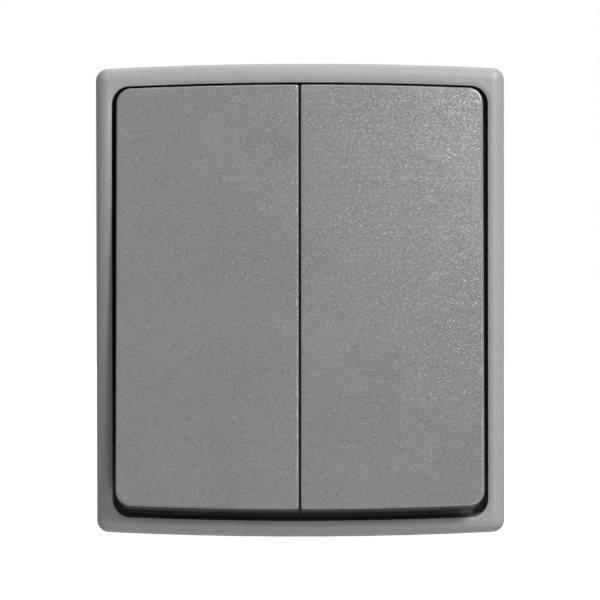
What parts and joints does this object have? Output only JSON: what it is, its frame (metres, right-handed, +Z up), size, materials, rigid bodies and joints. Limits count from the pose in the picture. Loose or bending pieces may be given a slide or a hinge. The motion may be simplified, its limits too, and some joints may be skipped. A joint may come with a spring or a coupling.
{
  "type": "rocker wall switch",
  "caption": "Surface-mounted wall switch with rockers side by side in a rounded grey housing, with bearings, contact blades and terminals inside.",
  "frame": {"origin": "centre of the back face, which rests on the wall", "axes": "+Z up, +X to the right seen from the front, +Y into the wall; the front faces -Y"},
  "size_m": [0.0666, 0.0476, 0.0772],
  "materials": {
    "housing_plastic": "fine-grained grey plastic with a metallic pigment",
    "rocker_plastic": "dark grey plastic with visible metallic flakes",
    "black_rubber": "matt black elastomer",
    "grey_rubber": "matt dark grey elastomer",
    "zinc_steel": "zinc plated steel",
    "thermoset": "moulded thermoset",
    "light_plastic": "natural polyamide",
    "plunger_plastic": "acetal",
    "brass": "stamped brass",
    "copper": "copper alloy strip",
    "silver_alloy": "silver contact alloy",
    "spring_steel": "music wire"
  },
  "bodies": {
    "housing": {"base_box": "housing_plastic", "hood": "housing_plastic", "hood_gasket": "black_rubber", "rocker_seal": "black_rubber", "hood_screw_washers": "black_rubber", "top_cable_grommet": "grey_rubber", "bottom_cable_grommet": "grey_rubber", "hood_screws": "zinc_steel", "mechanism_screws": "zinc_steel", "terminal_screws": "zinc_steel", "mechanism_base": "thermoset", "mechanism_cover": "light_plastic", "common_bar": "brass", "left_output_bar": "brass", "right_output_bar": "brass", "common_terminal_cage": "brass", "left_terminal_cage": "brass", "right_terminal_cage": "brass", "left_fixed_contact": "silver_alloy", "right_fixed_contact": "silver_alloy"},
    "left_rocker": {"left_rocker": "rocker_plastic", "left_cradle": "light_plastic", "left_spring": "spring_steel"},
    "left_plunger": {"left_plunger": "plunger_plastic"},
    "left_blade": {"left_contact_blade": "copper", "left_moving_contact": "silver_alloy"},
    "right_rocker": {"right_rocker": "rocker_plastic", "right_cradle": "light_plastic", "right_spring": "spring_steel"},
    "right_plunger": {"right_plunger": "plunger_plastic"},
    "right_blade": {"right_contact_blade": "copper", "right_moving_contact": "silver_alloy"}
  },
  "joints": [
    {"name": "left_rocker_tilt", "type": "hinge", "parent": "housing", "child": "left_rocker", "pos_m": [-0.0114, -0.0337, 0], "axis": [1, 0, 0], "range_deg": [0, 9]},
    {"name": "left_blade_rock", "type": "hinge", "parent": "housing", "child": "left_blade", "pos_m": [-0.0114, -0.0135, 0], "axis": [1, 0, 0], "range_deg": [-15.6, 0]},
    {"name": "left_plunger_slide", "type": "slide", "parent": "left_rocker", "child": "left_plunger", "axis": [0, -0.9969, 0.0785], "range_m": [0, 0.0008], "stiffness_N_per_m": 300, "springref_m": -0.004, "deforming": ["left_spring"]},
    {"name": "right_rocker_tilt", "type": "hinge", "parent": "housing", "child": "right_rocker", "pos_m": [0.0114, -0.0337, 0], "axis": [1, 0, 0], "range_deg": [0, 9]},
    {"name": "right_blade_rock", "type": "hinge", "parent": "housing", "child": "right_blade", "pos_m": [0.0114, -0.0135, 0], "axis": [1, 0, 0], "range_deg": [-15.6, 0]},
    {"name": "right_plunger_slide", "type": "slide", "parent": "right_rocker", "child": "right_plunger", "axis": [0, -0.9969, 0.0785], "range_m": [0, 0.0008], "stiffness_N_per_m": 300, "springref_m": -0.004, "deforming": ["right_spring"]}
  ],
  "couplings": [
    {"joint": "left_blade_rock", "follows": "left_rocker_tilt", "ratio": -1.7333},
    {"joint": "right_blade_rock", "follows": "right_rocker_tilt", "ratio": -1.7333}
  ]
}
